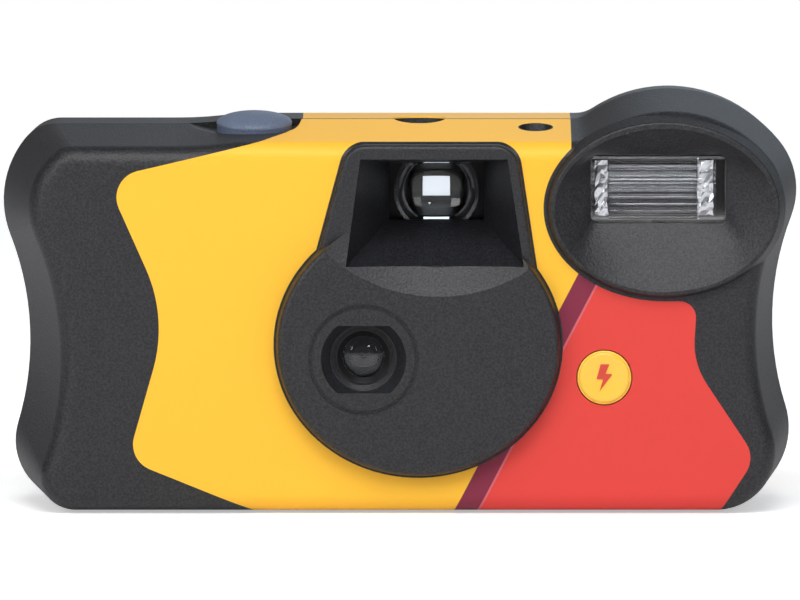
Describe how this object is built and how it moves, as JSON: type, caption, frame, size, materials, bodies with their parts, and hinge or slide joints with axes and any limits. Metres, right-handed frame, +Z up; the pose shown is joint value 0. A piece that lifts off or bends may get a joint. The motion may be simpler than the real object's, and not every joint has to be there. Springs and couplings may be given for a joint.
{
  "type": "disposable film camera",
  "caption": "Disposable film camera with flash: plain print label round two covers, thumbwheel film advance, sprung shutter and flash charge buttons, opening film door.",
  "frame": {"origin": "on the flat underside of the wrap label, below the seam of the two covers and half way between the widest points of the sides", "axes": "-Y out of the front with the lens, +X to the right seen from the front, +Z up through the shutter button"},
  "size_m": [0.1176, 0.0373, 0.0619],
  "materials": {
    "label_print": "printed gloss label",
    "cover_black": "fine spark-eroded grain",
    "wheel_black": "satin moulded",
    "button_blue": "satin moulded",
    "button_yellow": "gloss moulded",
    "clear_window": "clear ribbed plastic",
    "lamp_clear": "clear lamp",
    "clear_lens": "clear plastic lens",
    "chassis_black": "moulded",
    "cassette_metal": "painted tin",
    "cap_black": "black tin",
    "spool_grey": "moulded",
    "film_base": "film base",
    "counter_white": "moulded, printed numbers",
    "blade_steel": "thin black steel",
    "spring_steel": "spring wire",
    "lever_white": "moulded",
    "board_green": "circuit board",
    "ferrite_dark": "ferrite and tape",
    "contact_metal": "plated strip",
    "capacitor_sleeve": "shrink sleeve",
    "reflector_metal": "polished sheet",
    "battery_sleeve": "printed sleeve"
  },
  "bodies": {
    "camera": {"wrap_label": "label_print", "front_cover": "cover_black", "rear_cover": "cover_black", "flash_window": "clear_window", "ready_lamp": "lamp_clear", "finder_front_lens": "clear_lens", "finder_rear_lens": "clear_lens", "taking_lens": "clear_lens", "lens_retainer": "cover_black", "chassis": "chassis_black", "finder_housing": "chassis_black", "shutter_plate": "chassis_black", "cassette_shell": "cassette_metal", "cassette_bottom_cap": "cap_black", "cassette_top_cap": "cap_black", "film_strip": "film_base", "shutter_spring": "spring_steel", "metering_spring": "spring_steel", "driver_spring": "spring_steel", "flash_board": "board_green", "transformer": "ferrite_dark", "trigger_coil": "ferrite_dark", "board_parts": "ferrite_dark", "charge_leaf": "contact_metal", "battery_minus_contact": "contact_metal", "battery_plus_contact": "contact_metal", "flash_capacitor": "capacitor_sleeve", "flash_reflector": "reflector_metal", "flash_tube": "clear_window", "battery": "battery_sleeve"},
    "thumbwheel": {"thumbwheel": "wheel_black"},
    "take_up_spool": {"cassette_spool": "spool_grey"},
    "sprocket": {"sprocket": "wheel_black"},
    "film_supply": {"film_roll": "film_base", "supply_spool": "spool_grey"},
    "counter": {"counter_wheel": "counter_white"},
    "shutter_release": {"shutter_button": "button_blue"},
    "flash_charger": {"flash_button": "button_yellow"},
    "blade": {"shutter_blade": "blade_steel"},
    "metering": {"metering_lever": "lever_white"},
    "driver": {"driver_lever": "lever_white"},
    "door": {"film_door": "cover_black"}
  },
  "joints": [
    {"name": "film_advance", "type": "hinge", "parent": "camera", "child": "thumbwheel", "pos_m": [-0.0379, 0.0026, 0.049], "axis": [0, 0, 1], "continuous": true, "deforming": ["film_strip"]},
    {"name": "take_up_turn", "type": "hinge", "parent": "camera", "child": "take_up_spool", "pos_m": [-0.0379, 0.0026, 0.0228], "axis": [0, 0, 1], "continuous": true},
    {"name": "sprocket_turn", "type": "hinge", "parent": "camera", "child": "sprocket", "pos_m": [-0.008, 0.0076, 0.041], "axis": [0, 0, 1], "continuous": true},
    {"name": "film_supply_turn", "type": "hinge", "parent": "camera", "child": "film_supply", "pos_m": [0.025, 0.0046, 0.0228], "axis": [0, 0, 1], "continuous": true},
    {"name": "counter_turn", "type": "hinge", "parent": "camera", "child": "counter", "pos_m": [0.0032, 0.007, 0.054], "axis": [0, 0, 1], "continuous": true},
    {"name": "shutter_press", "type": "slide", "parent": "camera", "child": "shutter_release", "axis": [0, 0, -1], "range_m": [0, 0.0012], "stiffness_N_per_m": 400, "springref_m": -0.0012},
    {"name": "flash_charge_press", "type": "slide", "parent": "camera", "child": "flash_charger", "axis": [0, 1, 0], "range_m": [0, 0.0006], "stiffness_N_per_m": 500, "springref_m": -0.001},
    {"name": "shutter_blade_swing", "type": "hinge", "parent": "camera", "child": "blade", "pos_m": [-0.011, -0.011, 0.0305], "axis": [0, 1, 0], "range_deg": [0, 25], "stiffness_Nm_per_rad": 0.0002, "springref_deg": -11.46},
    {"name": "metering_lever_swing", "type": "hinge", "parent": "camera", "child": "metering", "pos_m": [-0.0216, 0.0024, 0.0417], "axis": [0, 0, 1], "range_deg": [-8, 0], "stiffness_Nm_per_rad": 0.001, "springref_deg": 11.46},
    {"name": "driver_lever_swing", "type": "hinge", "parent": "camera", "child": "driver", "pos_m": [-0.016, -0.0032, 0.0417], "axis": [0, 0, 1], "range_deg": [-14, 0], "stiffness_Nm_per_rad": 0.001, "springref_deg": 17.19},
    {"name": "film_door_swing", "type": "hinge", "parent": "camera", "child": "door", "pos_m": [-0.0253, 0.00255, 0], "axis": [0, 1, 0], "range_deg": [-95, 0]}
  ],
  "couplings": [
    {"joint": "take_up_turn", "follows": "film_advance", "ratio": 1},
    {"joint": "sprocket_turn", "follows": "film_advance", "ratio": 1},
    {"joint": "film_supply_turn", "follows": "film_advance", "ratio": 0.57619},
    {"joint": "counter_turn", "follows": "film_advance", "ratio": -0.05}
  ]
}
